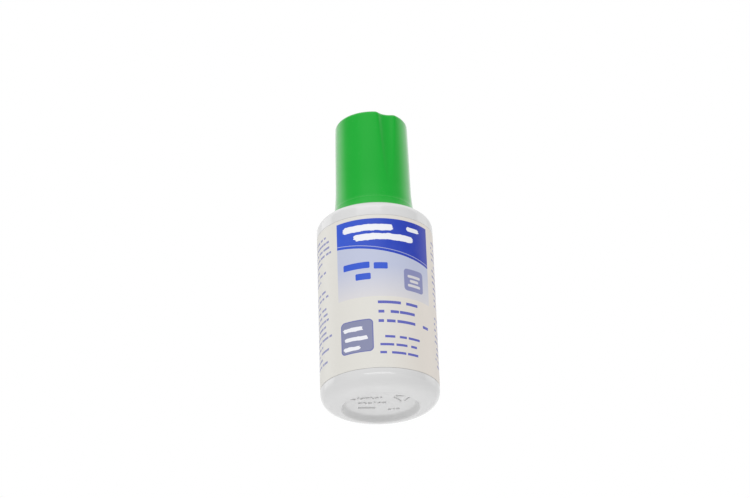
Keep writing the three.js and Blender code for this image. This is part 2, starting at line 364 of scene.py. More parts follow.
def makeRowsGroup():
    b = barRows
    group, start, end = newGroup(
        "barRows",
        {"Point": None, "Left": 0, "Right": 10, "Bottom": 0, "Top": 10, "Pitch": 2, "Fill": 0.5,
         "Word Rate": 0.4, "Seed": 0},
        {"Mask": "Float"})
    add, subtract, multiply, divide = mathTools(group, "ADD", "SUBTRACT", "MULTIPLY", "DIVIDE")
    more, less = mathTools(group, "GREATER_THAN", "LESS_THAN")
    left, right = start["Left"], start["Right"]
    x, y = splitPoint(group, start["Point"])[:2]
    place = divide(subtract(start["Top"], y), start["Pitch"])
    inRow = less(mathNode(group, "FRACT", place), start["Fill"])
    rowSeed = add(multiply(mathNode(group, "FLOOR", place), b["rowShift"]), start["Seed"])
    shift = multiply(rowSeed, b["wordShift"])
    words = addNode(group, "ShaderNodeTexVoronoi", voronoi_dimensions="1D", feature="F1")
    feed(group, words, {"W": add(multiply(x, start["Word Rate"]), shift), "Scale": 1})
    inWord = less(words.outputs["Distance"], b["wordReach"])
    ragged = addNode(group, "ShaderNodeTexWhiteNoise", noise_dimensions="1D")
    feed(group, ragged, {"W": rowSeed})
    width = multiply(subtract(right, left), b["ragged"])
    limit = subtract(right, multiply(width, ragged.outputs["Value"]))
    # A word shows only where its middle lies in the block, so no slivers are left at the ends
    middle = divide(subtract(words.outputs["W"], shift), start["Word Rate"])
    mask = multiply(inRow, inWord)
    for test in (more(x, left), less(x, limit), more(middle, left), less(middle, limit),
                 more(y, start["Bottom"]), less(y, start["Top"])):
        mask = multiply(mask, test)
    feed(group, end, {"Mask": mask})
    return group


mouldedGroup = makeMouldedGroup()
shapeGroup = makeShapeGroup()
rowsGroup = makeRowsGroup()


def newMaterial(name):
    material = bpy.data.materials.new(name)
    material.use_nodes = True
    return material, material.node_tree, material.node_tree.nodes["Principled BSDF"]


def mouldedPlastic(name, base, cloud=0.05, gloss=0.4, glossChange=0.1, flow=0.3, scuffs=0.3, bump=0.02,
                   level=0.5):
    material, tree, shader = newMaterial(name)
    skin = useGroup(tree, mouldedGroup, {
        "Point": objectPoint(tree), "Colour": base, "Cloud": cloud, "Gloss": gloss,
        "Gloss Change": glossChange, "Flow": flow, "Scuffs": scuffs})
    feed(tree, shader, {
        "Base Color": skin["Colour"], "Roughness": skin["Roughness"], "Specular IOR Level": level,
        "Normal": bumpFrom(tree, skin["Height"], moulded["bumpStrength"], bump)})
    return material


def dressPiece(piece, material, body, node):
    piece.data.materials.clear()
    piece.data.materials.append(material)
    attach(piece, body)
    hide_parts(node)


# Bottle. The lists are steps from the foot's inner edge, and from the full radius beyond the panel
bottle = {
    "radius": 14.5, "wall": 1.0, "sides": 128, "footOuter": 10.0, "footInner": 9.5,
    "pushUp": 1.6, "pushSlope": 1.15,
    "pushWall": [(-0.95, 1.53), (-0.7, 1.28), (-0.3, 0.5), (-0.1, 0.14), (0.1, 0)],
    "pushInside": [(-0.3, 1.1), (-1.4, 2.3)],
    "heelHeight": 4.2, "heelLeave": (11.6, 0.22), "heelArrive": 0.85, "heelSteps": 14,
    "panelRadius": 14.35, "panelBottom": 4.8, "panelTop": 45.0,
    "panelEdge": [(0, 0.15), (-0.04, 0.14), (-0.11, 0.02), (-0.15, -0.1)],
    "shoulderRadius": 11.7, "shoulderZ": 47.0, "shoulderHeight": 49.5,
    "shoulderInner": 1.5, "shoulderSteps": 14,
    "neckRoot": 50.0, "neckRadius": 5.9, "neckFillet": 0.8, "neckSteps": 6, "neckTop": 60.0,
    "rimBevel": 0.3, "rimRound": 0.09, "bore": 4.8, "boreBevel": 0.12, "boreFillet": 0.3, "innerSteps": 8,
    "look": {"base": colour(211, 211, 211), "cloud": 0.03, "gloss": 0.14, "glossChange": 0.05, "flow": 0.2,
             "scuffs": 0.25, "bump": 0.03}}


def makeBottle():
    b = bottle
    outline = [(b["footInner"] - b["pushSlope"], b["pushUp"])]
    outline += [(b["footInner"] + out, z) for out, z in b["pushWall"]]
    outline += bendPoints((b["footOuter"], 0), b["heelLeave"], (b["radius"], b["heelArrive"]),
                          (b["radius"], b["heelHeight"]), b["heelSteps"])
    outline += [(b["radius"] + out, b["panelBottom"] - past) for out, past in b["panelEdge"]]
    outline += [(b["radius"] + out, b["panelTop"] + past) for out, past in reversed(b["panelEdge"])]
    outline += arcPoints(b["shoulderRadius"], b["shoulderZ"], b["radius"] - b["shoulderRadius"],
                         b["shoulderHeight"] - b["shoulderZ"], 0, 90, b["shoulderSteps"])
    outline += arcPoints(b["neckRadius"] + b["neckFillet"], b["neckRoot"] + b["neckFillet"], b["neckFillet"],
                         b["neckFillet"], 270, 180, b["neckSteps"])
    outline += [(b["neckRadius"], b["neckTop"] - b["rimBevel"]),
                (b["neckRadius"] - b["rimRound"], b["neckTop"] - b["rimRound"]),
                (b["neckRadius"] - b["rimBevel"], b["neckTop"]),
                (b["bore"] + b["boreBevel"], b["neckTop"]), (b["bore"], b["neckTop"] - b["boreBevel"])]
    # Down the bore and back along the inside of the wall
    innerRadius, innerRoot = b["panelRadius"] - b["wall"], b["neckRoot"] - b["wall"]
    outline += [(b["bore"], innerRoot + b["boreFillet"]), (b["bore"] + b["boreFillet"], innerRoot)]
    outline += arcPoints(b["shoulderRadius"], b["shoulderZ"], innerRadius - b["shoulderRadius"],
                         b["shoulderInner"], 90, 0, b["innerSteps"])
    outline += arcPoints(b["footOuter"], b["heelHeight"], innerRadius - b["footOuter"],
                         b["heelHeight"] - b["wall"], 0, -90, b["innerSteps"])
    outline += [(b["footInner"] + out, z) for out, z in b["pushInside"]]
    shell = turnPiece("bottleShell", outline, b["sides"])
    combine(shell, threadRidge("neckRidge", b["neckRadius"], thread["startZ"], inwards=False), "UNION")
    combine(shell, makeBaseMarks(), "UNION")
    smoothPiece(shell)
    return shell


# Marks that stand out from the raised middle of the base: x, y, length and turn of each bar
baseMarks = {"height": 0.3, "width": 0.36, "sink": 0.3, "soft": 0.05,
             "bars": [(5.35, -3.9, 3.1, 0), (4.15, -1.75, 3.1, 60), (6.55, -1.75, 3.1, 120),
                      (-6.6, -2.6, 1.3, 20), (-5.3, -3.1, 0.9, 90), (-4.3, -3.0, 1.1, -35),
                      (-3.1, -3.2, 1.0, 0), (-2.0, -3.0, 1.1, 60), (-0.9, -3.1, 0.9, 0), (0.2, -3.0, 1.0, 90),
                      (-5.0, 0.1, 1.0, 0), (-3.8, 0.0, 1.0, 55), (-2.6, 0.2, 0.9, 0), (-1.4, 0.0, 1.1, 90),
                      (-0.3, 0.1, 0.9, -40), (0.9, 0.1, 1.0, 0), (-3.4, 3.3, 4.2, 4), (2.1, 4.7, 0.8, 0),
                      (3.2, 4.6, 0.8, 90), (4.2, 4.5, 0.8, 0)]}


def makeBaseMarks():
    m = baseMarks
    z = bottle["pushUp"] + (m["sink"] - m["height"]) / 2
    marks = []
    for x, y, length, turn in m["bars"]:
        clearSelection()
        bpy.ops.mesh.primitive_cube_add(size=1, location=(x * mm, y * mm, z * mm),
                                        rotation=(0, 0, math.radians(turn)),
                                        scale=(length * mm, m["width"] * mm, (m["sink"] + m["height"]) * mm))
        mark = newest("baseMark")
        applyModifier(mark, "BEVEL", width=m["soft"] * mm, segments=2, limit_method="NONE")
        marks.append(mark)
    return joinPieces(marks)


bottleShell = makeBottle()
bottleWhite = mouldedPlastic("bottleWhite", **bottle["look"])
dressPiece(bottleShell, bottleWhite, "bottle_body", "bottle")
print("bottle made", len(bottleShell.data.polygons))

# Label: a strip wound round the panel, with one end over the other at the back
label = {"radius": 14.5, "thickness": 0.06, "bottom": 4.77, "top": 45.03, "steps": 180, "overlap": 5,
         "tuck": 0.07, "tuckSteps": 6, "unit": 100}


def makeLabel():
    l = label
    clearSelection()
    bpy.ops.mesh.primitive_plane_add(size=1, location=(0, 0, 0))
    strip = newest("labelStrip")
    # One upright edge of the plane is kept, at the back, and spun round the axis
    pickVertices(strip, lambda vertex: vertex.co.x > 0)
    bpy.ops.mesh.delete(type="VERT")
    leaveEdit()
    for vertex, z in zip(strip.data.vertices, (l["bottom"], l["top"])):
        vertex.co = (0, l["radius"] * mm, z * mm)
    around = 360 + l["overlap"]
    editPiece(strip, "SELECT")
    bpy.ops.mesh.spin(steps=l["steps"], angle=math.radians(around), center=(0, 0, 0), axis=(0, 0, 1))
    leaveEdit()
    # The under end is drawn in, column by column
    for i in range(l["tuckSteps"]):
        drawn = 1 - l["tuck"] * (1 - i / l["tuckSteps"]) / l["radius"]
        pickVertices(strip, lambda vertex: vertex.index // 2 == i)
        bpy.ops.transform.resize(value=(drawn, drawn, 1), center_override=(0, 0, 0))
        leaveEdit()
    first = strip.data.polygons[0]
    if first.normal.dot(first.center * Vector((1, 1, 0))) < 0:
        editPiece(strip, "SELECT")
        bpy.ops.mesh.flip_normals()
        leaveEdit()
    # The print reads the label laid flat: millimetres along the strip from the front, and height
    flat = strip.data.uv_layers.active
    for loop in strip.data.loops:
        turn = 180 - loop.vertex_index // 2 * around / l["steps"]
        along = math.radians(turn) * l["radius"]
        height = strip.data.vertices[loop.vertex_index].co.z / mm
        flat.data[loop.index].uv = (along / l["unit"] + 0.5, height / l["unit"])
    applyModifier(strip, "SOLIDIFY", thickness=l["thickness"] * mm, offset=-1)
    smoothPiece(strip, 30)
    return strip


# Print of the label in millimetres: x along the strip from the front, y is the height.
# A box or swipe has its middle, half its width and height, and its corner. Rows have left, right,
# bottom, top, pitch, fill, words to a millimetre and seed
sideRows = (1.55, 0.36, 0.75)
printed = {
    "stock": colour(217, 215, 209), "stockShade": 0.97, "fibreScale": 1.6,
    # The warm tone, with its rise and fall along the strip, is painted warm light on the right side
    "warmLightTone": colour(221, 214, 206), "warmLightRise": (1, 13), "warmLightFall": (38, 18),
    "left": -10.1, "right": 15.2, "bandTop": 44.05, "fieldLow": 23.2, "fieldCorner": 0.05, "fieldFade": 8.5,
    "lilac": colour(184, 190, 213), "lilacPale": colour(210, 208, 211),
    "bandLeft": 37.2, "bandSlope": -0.16, "bandLength": 25, "blue": colour(38, 82, 202),
    # The deeper blue is painted shade, reached towards the right end of the band
    "blueShaded": colour(12, 42, 166), "lineGap": 0.75, "lineHalf": 0.09, "lineShare": 0.45,
    "brushScale": 0.9, "brushStretch": (0.8, 3.5, 1), "brushReach": (1.3, 0.5, 0),
    "chip": colour(133, 137, 180), "ink": colour(92, 98, 182), "white": colour(232, 233, 238),
    "iconFill": colour(131, 135, 167), "iconEdge": colour(104, 110, 170), "inkSmall": colour(128, 132, 178),
    "stripeScale": 4.1, "stripeLimit": 0.52,
    "grimeScale": 0.25, "grimeTone": colour(196, 190, 176), "grimeShare": 0.05,
    "gloss": 0.3, "glossChange": 0.16, "level": 0.3, "bumpStrength": 0.35, "bump": 0.012,
    "marks": [
        ("swipe", (-1.2, 41.9, 6.4, 0.85, 0.8), "white"), ("swipe", (3.0, 39.4, 7.6, 0.85, 0.8), "white"),
        ("swipe", (10.7, 42.2, 1.9, 0.6, 0.6), "white"),
        ("box", (-4.9, 31.6, 3.4, 0.85, 0.3), "blue"), ("box", (1.2, 31.3, 1.7, 0.85, 0.3), "blue"),
        ("box", (-3.2, 28.6, 1.9, 0.85, 0.3), "blue"),
        ("box", (9.9, 28.2, 2.9, 2.9, 0.9), "chip"), ("box", (9.9, 29.2, 1.9, 0.35, 0.3), "lilacPale"),
        ("box", (9.9, 28.0, 1.3, 0.35, 0.3), "lilacPale"), ("box", (9.9, 26.8, 1.9, 0.35, 0.3), "lilacPale"),
        ("rows", (0.2, 14.6, 15.0, 22.0, 2.45, 0.3, 0.4, 3), "ink"),
        ("rows", (0.2, 14.0, 6.9, 13.0, 2.05, 0.3, 0.45, 8), "ink"),
        ("box", (-5.3, 13.2, 4.2, 4.2, 1.1), "iconEdge"), ("box", (-5.3, 13.2, 3.95, 3.95, 0.9), "iconFill"),
        ("swipe", (-5.6, 15.4, 2.6, 0.5, 0.5), "white"), ("swipe", (-4.8, 12.9, 3.0, 0.5, 0.5), "white"),
        ("swipe", (-5.9, 10.5, 2.2, 0.5, 0.5), "white"),
        # Round the sides and the back
        ("rows", (-27.5, -12.2, 30.5, 42.6, *sideRows, 11), "inkSmall"),
        ("rows", (-27.5, -12.2, 8.2, 28.3, *sideRows, 14), "inkSmall"),
        ("rows", (17.8, 31.0, 24.0, 42.0, *sideRows, 17), "inkSmall"),
        ("rows", (17.8, 31.0, 7.8, 21.5, *sideRows, 21), "inkSmall"),
        ("rows", (-43.5, -30.5, 26.0, 42.0, *sideRows, 25), "inkSmall"),
        ("box", (38.3, 14.5, 4.8, 6.5, 0.4), "white"), ("stripes", (38.3, 14.5, 4.2, 5.7, 0.05), "iconEdge")]}


def makeLabelPaper():
    p = printed
    material, tree, shader = newMaterial("labelPaper")
    add, subtract, multiply, divide = mathTools(tree, "ADD", "SUBTRACT", "MULTIPLY", "DIVIDE")
    more, less = mathTools(tree, "GREATER_THAN", "LESS_THAN")
    flat = addNode(tree, "ShaderNodeTexCoord").outputs["UV"]
    point = stretched(tree, flat, (label["unit"], label["unit"], 1), move=(-label["unit"] / 2, 0, 0))
    x, y = splitPoint(tree, point)[:2]
    # Swipes have uneven edges, as from a brush
    wobble = noiseAt(tree, stretched(tree, point, p["brushStretch"]), p["brushScale"], 3, output="Color")
    reach = addNode(tree, "ShaderNodeVectorMath", {0: wobble, 1: p["brushReach"]}, operation="MULTIPLY")
    values = {0: point, 1: reach.outputs[0]}
    brushed = addNode(tree, "ShaderNodeVectorMath", values, operation="ADD").outputs[0]

    def useNames(group, where, names, values):
        return useGroup(tree, group, {"Point": where, **dict(zip(names, values))})["Mask"]

    def box(*place, where=point):
        names = ("Middle X", "Middle Y", "Half Width", "Half Height", "Corner")
        return useNames(shapeGroup, where, names, place)

    def swipe(*place):
        return box(*place, where=brushed)

    def rows(*place):
        names = ("Left", "Right", "Bottom", "Top", "Pitch", "Fill", "Word Rate", "Seed")
        return useNames(rowsGroup, point, names, place)

    def stripes(*place):
        noise = addNode(tree, "ShaderNodeTexNoise", noise_dimensions="1D")
        feed(tree, noise, {"W": x, "Scale": p["stripeScale"], "Detail": 2})
        return multiply(more(noise.outputs["Fac"], p["stripeLimit"]), box(*place))

    # Paper with faint fibres and a slow change of tone, and painted warm light round the right side
    fibres = noiseAt(tree, point, p["fibreScale"], 5)
    paper = mixColour(tree, fibres, p["stock"], darker(p["stock"], p["stockShade"]))
    rising = divide(subtract(x, p["warmLightRise"][0]), p["warmLightRise"][1], clamp=True)
    falling = divide(subtract(p["warmLightFall"][0], x), p["warmLightFall"][1], clamp=True)
    look = mixColour(tree, multiply(rising, falling), paper, p["warmLightTone"])

    # The lilac field pales downwards. The blue band over it ends along a slanted line, with a thin
    # pale line along it, and darkens towards the right with painted shade
    field = box((p["left"] + p["right"]) / 2, (p["bandTop"] + p["fieldLow"]) / 2,
                (p["right"] - p["left"]) / 2, (p["bandTop"] - p["fieldLow"]) / 2, p["fieldCorner"])
    fade = divide(subtract(y, p["fieldLow"]), p["fieldFade"], clamp=True)
    inward = subtract(x, p["left"])
    slant = add(multiply(inward, p["bandSlope"]), p["bandLeft"])
    band = mixColour(tree, divide(inward, p["bandLength"], clamp=True), p["blue"], p["blueShaded"])
    offset = mathNode(tree, "ABSOLUTE", subtract(subtract(y, slant), p["lineGap"]))
    line = multiply(multiply(less(offset, p["lineHalf"]), field), p["lineShare"])
    layers = [(field, mixColour(tree, fade, p["lilacPale"], p["lilac"])),
              (multiply(more(y, slant), field), band), (line, p["white"])]
    makers = {"box": box, "swipe": swipe, "rows": rows, "stripes": stripes}
    layers += [(makers[kind](*place), p[tone]) for kind, place, tone in p["marks"]]
    grime = noiseAt(tree, point, p["grimeScale"], 6)
    layers.append((multiply(grime, p["grimeShare"]), p["grimeTone"]))
    for mask, tone in layers:
        look = mixColour(tree, mask, look, tone)
    feed(tree, shader, {
        "Base Color": look, "Roughness": add(p["gloss"], multiply(grime, p["glossChange"])),
        "Normal": bumpFrom(tree, fibres, p["bumpStrength"], p["bump"]), "Specular IOR Level": p["level"]})
    return material


labelStrip = makeLabel()
dressPiece(labelStrip, makeLabelPaper(), "bottle_body", "label")
print("label made", len(labelStrip.data.polygons))

# Cap shell with its scooped flute. The heights in lip and ledgeEdge count from base and ledge
cap = {
    "base": 49.95, "top": 77.42, "topWall": 1.1, "topRadius": 9.2, "ledge": 52.65, "edge": 1.1,
    "edgeSteps": 8, "lip": [(10.72, 0), (10.86, 0.03), (10.9, 0.16)],
    "flare": [(10.68, 50.6), (10.47, 51.2), (10.28, 51.8), (10.15, 52.3)],
    "ledgeEdge": [(10.1, -0.06), (10.07, 0), (9.97, 0.06), (9.93, 0.16)],
    "side": [(9.85, 53.5), (9.76, 54.4), (9.67, 55.4), (9.58, 56.6), (9.52, 58.0), (9.48, 59.7), (9.45, 62.0),
             (9.4, 66.0), (9.34, 70.0), (9.24, 75.0)],
    "scoopRadius": 4.0, "scoopDepth": 1.05, "scoopLength": 21.0, "scoopSoft": 0.5, "fluteAngle": -64,
    "mouth": 9.7, "mouthPast": 0.5, "mouthDepth": 0.1, "inner": 8.2, "innerTop": 63.95, "innerEdge": 0.3,
    "innerEnd": (7.85, 7.6), "waist": 9.4, "fluteRadius": 3.3, "fluteDepth": 1.45, "fluteLength": 18.0,
    "fluteWall": 0.6, "reach": 1.3, "barSides": 96, "ringGap": 0.8, "sides": 240,
    "bevel": 0.09, "bevelAngle": 24,
    "look": {"base": colour(16, 165, 47), "cloud": 0.07, "gloss": 0.42, "glossChange": 0.1, "flow": 0.35,
             "scuffs": 0.1, "bump": 0.02, "level": 0.2},
    "rimBlend": 0.35, "rimPower": 2, "rimCoat": 2.3,
    "rimLook": {"Coat Roughness": 0.25, "Sheen Weight": 0.5, "Sheen Roughness": 0.26}}


def makeFluteBar():
    # A tilted round bar with the flute's CAD sizes and one wall more: the cavity is cut back by it
    c = cap
    low = Vector((c["waist"] + c["fluteRadius"], 0, c["top"] - c["fluteLength"]))
    high = Vector((c["topRadius"] + c["fluteRadius"] - c["fluteDepth"], 0, c["top"]))
    along = (high - low) * c["reach"]
    clearSelection()
    bpy.ops.mesh.primitive_cylinder_add(vertices=c["barSides"],
                                        radius=(c["fluteRadius"] + c["fluteWall"]) * mm,
                                        depth=along.length * mm, location=(low + along / 2) * mm,
                                        rotation=(0, math.atan2(along.x, along.z), 0))
    bar = newest("fluteInner")
    bar.data.transform(Matrix.Rotation(math.radians(c["fluteAngle"]), 4, "Z"))
    return bar


def splitLegs(outline, longest):
    # Extra points on the long legs of an outline
    points = [outline[0]]
    for (fromR, fromZ), (toR, toZ) in zip(outline, outline[1:]):
        count = max(1, math.ceil(abs(toZ - fromZ) / longest))
        points += [(fromR + (toR - fromR) * i / count, fromZ + (toZ - fromZ) * i / count)
                   for i in range(1, count + 1)]
    return points


def scoopAt(point):
    # How far the flute lies under the skin at a point, with its long edges rounded off
    c = cap
    turn = math.radians(c["fluteAngle"])
    ahead = (point.x * math.cos(turn) + point.y * math.sin(turn)) / mm
    side = (point.y * math.cos(turn) - point.x * math.sin(turn)) / mm
    depth = c["scoopDepth"] * (1 - (c["top"] - point.z / mm) / c["scoopLength"])
    if ahead < 0 or depth <= 0 or abs(side) >= c["scoopRadius"]:
        return 0
    skin = math.sqrt(c["topRadius"] ** 2 - side ** 2)
    floor = c["topRadius"] + c["scoopRadius"] - depth - math.sqrt(c["scoopRadius"] ** 2 - side ** 2)
    soft = c["scoopSoft"] * depth
    near = max(0, 1 - abs(skin - floor) / soft)
    return max(0, skin - floor) + near ** 2 * soft / 4


def pushFlute(shell):
    # The skin is pushed in towards the axis, each point by its own share
    c = cap
    share = shell.vertex_groups.new(name="flute")
    for vertex in shell.data.vertices:
        depth = scoopAt(vertex.co)
        if depth > 0:
            share.add([vertex.index], depth / c["scoopDepth"], "REPLACE")
    turn = math.radians(c["fluteAngle"])
    for direction, part in (("X", math.cos(turn)), ("Y", math.sin(turn))):
        applyModifier(shell, "DISPLACE", direction=direction, mid_level=0, vertex_group="flute",
                      strength=-c["scoopDepth"] * mm * part)
    shell.vertex_groups.clear()


def makeCapShell():
    c = cap
    outline = [(r, c["base"] + up) for r, up in c["lip"]] + c["flare"]
    outline += [(r, c["ledge"] + up) for r, up in c["ledgeEdge"]] + c["side"]
    outline += arcPoints(c["topRadius"] - c["edge"], c["top"] - c["edge"], c["edge"], c["edge"], 0, 90,
                         c["edgeSteps"])
    shell = turnPiece("capShell", splitLegs(outline, c["ringGap"]), c["sides"])
    pushFlute(shell)
    innerTop = c["top"] - c["topWall"]
    hollow = [(c["mouth"], c["base"] - c["mouthPast"]), (c["mouth"], c["base"] + c["mouthDepth"]),
              (c["inner"], c["ledge"]), (c["inner"], c["innerTop"]),
              (c["innerEnd"][0], innerTop - c["innerEdge"]), (c["innerEnd"][1], innerTop)]
    cavity = turnPiece("capCavity", hollow, c["sides"])
    combine(cavity, makeFluteBar())
    combine(shell, cavity)
    bevelEdges(shell, c["bevel"], segments=3, angle=c["bevelAngle"], miter_outer="MITER_ARC")
    smoothPiece(shell, 40)
    return shell


def makeCapGreen():
    # Towards its rims the cap is paler and glossier, as polished plastic is at a low angle
    c = cap
    material = mouldedPlastic("capGreen", **c["look"])
    tree = material.node_tree
    facing = addNode(tree, "ShaderNodeLayerWeight", {"Blend": c["rimBlend"]}).outputs["Facing"]
    rim = mathNode(tree, "POWER", facing, c["rimPower"])
    coat = mathNode(tree, "MULTIPLY", rim, c["rimCoat"], clamp=True)
    feed(tree, tree.nodes["Principled BSDF"], {"Coat Weight": coat, **c["rimLook"]})
    return material


capShell = makeCapShell()
dressPiece(capShell, makeCapGreen(), "cap", "cap_shell")
print("cap made", len(capShell.data.polygons))

# Closure inside the cap, with its thread and the collar round the wand's head
closure = {"root": 6.95, "radius": 8.0, "base": 50.6, "chamfer": 0.25, "webBottom": 62.55, "webTop": 63.75,
           "hole": 2.1, "collarInner": 3.4, "collarOuter": 4.2, "collarTop": 65.95,
           "bevel": 0.12, "sides": 96,
           "look": {"base": colour(236, 236, 232), "cloud": 0.03, "gloss": 0.42, "scuffs": 0.2, "bump": 0.02}}


def makeClosure():
    c = closure
    outline = [(c["hole"], c["webBottom"]), (c["root"], c["webBottom"]),
               (c["root"], c["base"] + c["chamfer"]), (c["root"] + c["chamfer"], c["base"]),
               (c["radius"], c["base"]), (c["radius"], c["webTop"]),
               (c["collarOuter"], c["webTop"]), (c["collarOuter"], c["collarTop"]),
               (c["collarInner"], c["collarTop"]), (c["collarInner"], c["webTop"]), (c["hole"], c["webTop"]),
               (c["hole"], c["webBottom"])]
    cup = turnPiece("closureCup", outline, c["sides"])
    bevelEdges(cup, c["bevel"])
    startZ = thread["startZ"] - thread["pitch"] / 2
    combine(cup, threadRidge("closureRidge", c["root"], startZ, inwards=True), "UNION")
    smoothPiece(cup)
    return cup


closureCup = makeClosure()
closureWhite = mouldedPlastic("closureWhite", **closure["look"])
dressPiece(closureCup, closureWhite, "cap", "cap_insert")
print("closure made", len(closureCup.data.polygons))

# Sealing ring
liner = {"inner": 2.15, "outer": 5.9, "bottom": 61.3, "top": 62.3, "bevel": 0.15, "sides": 96,
         "look": {"base": colour(240, 240, 236), "cloud": 0.1, "gloss": 0.8, "scuffs": 0.0, "bump": 0.08}}


def makeLiner():
    l = liner
    outline = [(l["inner"], l["bottom"]), (l["outer"], l["bottom"]), (l["outer"], l["top"]),
               (l["inner"], l["top"]), (l["inner"], l["bottom"])]
    ring = turnPiece("linerRing", outline, l["sides"])
    bevelEdges(ring, l["bevel"], segments=3)
    smoothPiece(ring)
    return ring


linerRing = makeLiner()
linerFoam = mouldedPlastic("linerFoam", **liner["look"])
dressPiece(linerRing, linerFoam, "cap_seal", "cap_liner")

# Wiper in the neck: a flanged plug whose lip strips the brush
wiper = {"barrel": 4.6, "wall": 0.9, "flange": 5.9, "flangeBottom": 60.25, "flangeTop": 61.05,
         "lipBottom": 53.0, "lipHole": 2.35, "lipThickness": 0.5, "lipSlope": 1.4, "lipCorner": (0.13, 0.3),
         "bevel": 0.1, "sides": 96,
         "look": {"base": colour(214, 220, 222), "cloud": 0.05, "gloss": 0.3, "scuffs": 0.1, "bump": 0.02}}


def makeWiper():
    w = wiper
    inner, lipTop = w["barrel"] - w["wall"], w["lipBottom"] + w["lipThickness"]
    outline = [(w["lipHole"], w["lipBottom"]), (w["barrel"] - w["wall"] / 2, w["lipBottom"]),
               (w["barrel"] - w["lipCorner"][0], w["lipBottom"] + w["lipCorner"][1]),
               (w["barrel"], w["lipBottom"] + w["wall"]), (w["barrel"], w["flangeBottom"]),
               (w["flange"], w["flangeBottom"]), (w["flange"], w["flangeTop"]), (inner, w["flangeTop"]),
               (inner, lipTop + w["lipSlope"]), (w["lipHole"], lipTop), (w["lipHole"], w["lipBottom"])]
    plug = turnPiece("wiperPlug", outline, w["sides"])
    bevelEdges(plug, w["bevel"])
    smoothPiece(plug)
    return plug


wiperPlug = makeWiper()
wiperClear = mouldedPlastic("wiperClear", **wiper["look"])
dressPiece(wiperPlug, wiperClear, "bottle_body", "neck_wiper")
print("liner and wiper made")

# Wand with its head, sealing bead and the socket for the tuft
wand = {"radius": 1.9, "tip": 1.75, "tipBevel": 0.12, "end": 16.05, "socket": 1.3, "socketBevel": 0.1,
        "socketTop": 20.05, "bead": 2.3, "beadTop": 61.175, "beadHeight": 0.6, "beadInset": 0.02,
        "beadAngle": 80, "beadSteps": 8, "head": 3.2, "headBottom": 64.0, "headTop": 65.6,
        "headBevel": 0.1, "headRound": 0.2, "neckRoot": 50.0, "sides": 64,
        "look": {"base": colour(236, 236, 231), "cloud": 0.05, "gloss": 0.4, "scuffs": 0.15, "bump": 0.03}}


def makeWand():
    w = wand
    halfBead = w["beadHeight"] / 2
    outline = [(w["socket"], w["socketTop"]), (w["socket"], w["end"] + w["socketBevel"]),
               (w["socket"] + w["socketBevel"], w["end"]), (w["tip"] - w["tipBevel"], w["end"]),
               (w["tip"], w["end"] + w["tipBevel"]), (w["tip"], w["socketTop"]), (w["radius"], w["neckRoot"]),
               (w["radius"], w["beadTop"] - w["beadHeight"])]
    outline += arcPoints(w["radius"], w["beadTop"] - halfBead, w["bead"] - w["radius"],
                         halfBead - w["beadInset"], -w["beadAngle"], w["beadAngle"], w["beadSteps"])
    outline += [(w["radius"], w["beadTop"]), (w["radius"], w["headBottom"]),
                (w["head"] - w["headBevel"], w["headBottom"]), (w["head"], w["headBottom"] + w["headBevel"]),
                (w["head"], w["headTop"] - w["headRound"]), (w["head"] - w["headRound"], w["headTop"])]
    stem = turnPiece("wandStem", outline, w["sides"])
    smoothPiece(stem)
    return stem


wandStem = makeWand()
wandWhite = mouldedPlastic("wandWhite", **wand["look"])
dressPiece(wandStem, wandWhite, "cap", "brush_wand")

# Flat metal anchor that holds the tuft in the socket
anchor = {"width": 2.15, "thickness": 0.35, "bottom": 18.45, "top": 19.85, "punchHeight": 0.1,
          "punchShare": 0.84, "bevel": 0.06, "tones": (colour(196, 190, 174), colour(150, 144, 130)),
          "drawn": (1, 1, 12), "lineScale": 1500, "gloss": 0.22, "glossChange": 0.25}


def makeAnchor():
    a = anchor
    height = a["top"] - a["bottom"]
    clearSelection()
    bpy.ops.mesh.primitive_cube_add(size=1, location=(0, 0, (a["bottom"] + a["top"]) / 2 * mm),
                                    scale=(a["width"] * mm, a["thickness"] * mm, height * mm))
    plate = newest("anchorPlate")
    # The lower corners are drawn in, as the punch leaves them
    pickVertices(plate, lambda vertex: vertex.co.z < (a["bottom"] + a["punchHeight"]) * mm)
    bpy.ops.transform.resize(value=(a["punchShare"], 1, 1), center_override=(0, 0, a["bottom"] * mm))
    leaveEdit()
    bevelEdges(plate, a["bevel"])
    smoothPiece(plate, 40)
    return plate


def makeAnchorMetal():
    a = anchor
    material, tree, shader = newMaterial("anchorMetal")
    lines = noiseAt(tree, stretched(tree, objectPoint(tree), a["drawn"]), a["lineScale"], 4)
    rough = mathNode(tree, "ADD", a["gloss"], mathNode(tree, "MULTIPLY", lines, a["glossChange"]))
    feed(tree, shader, {"Base Color": mixColour(tree, lines, *a["tones"]), "Roughness": rough, "Metallic": 1})
    return material


anchorPlate = makeAnchor()
dressPiece(anchorPlate, makeAnchorMetal(), "cap", "bristle_anchor")
print("wand and anchor made")

# Tuft of nylon strands, wet with white fluid towards the tip
tuft = {"count": 380, "rootRadius": 1.04, "tipRadius": 1.5, "rootTop": 18.2, "tip": 4.3, "rounding": 1.3,
        "uneven": (0.02, 0.35), "strand": 0.045, "taper": 0.95, "sides": 5, "rings": 8, "tipGap": 0.1,
        "spread": 0.05, "sway": 0.05, "swayLength": 0.9, "bend": 1.6, "seed": 7,
        "tones": (colour(236, 231, 217), colour(220, 213, 194)), "wetTone": colour(244, 244, 241),
        "fluidLine": 13.0, "fluidSoft": 2, "fluidUneven": 6, "noiseScale": 900, "gloss": 0.5,
        "wetGloss": 0.22}


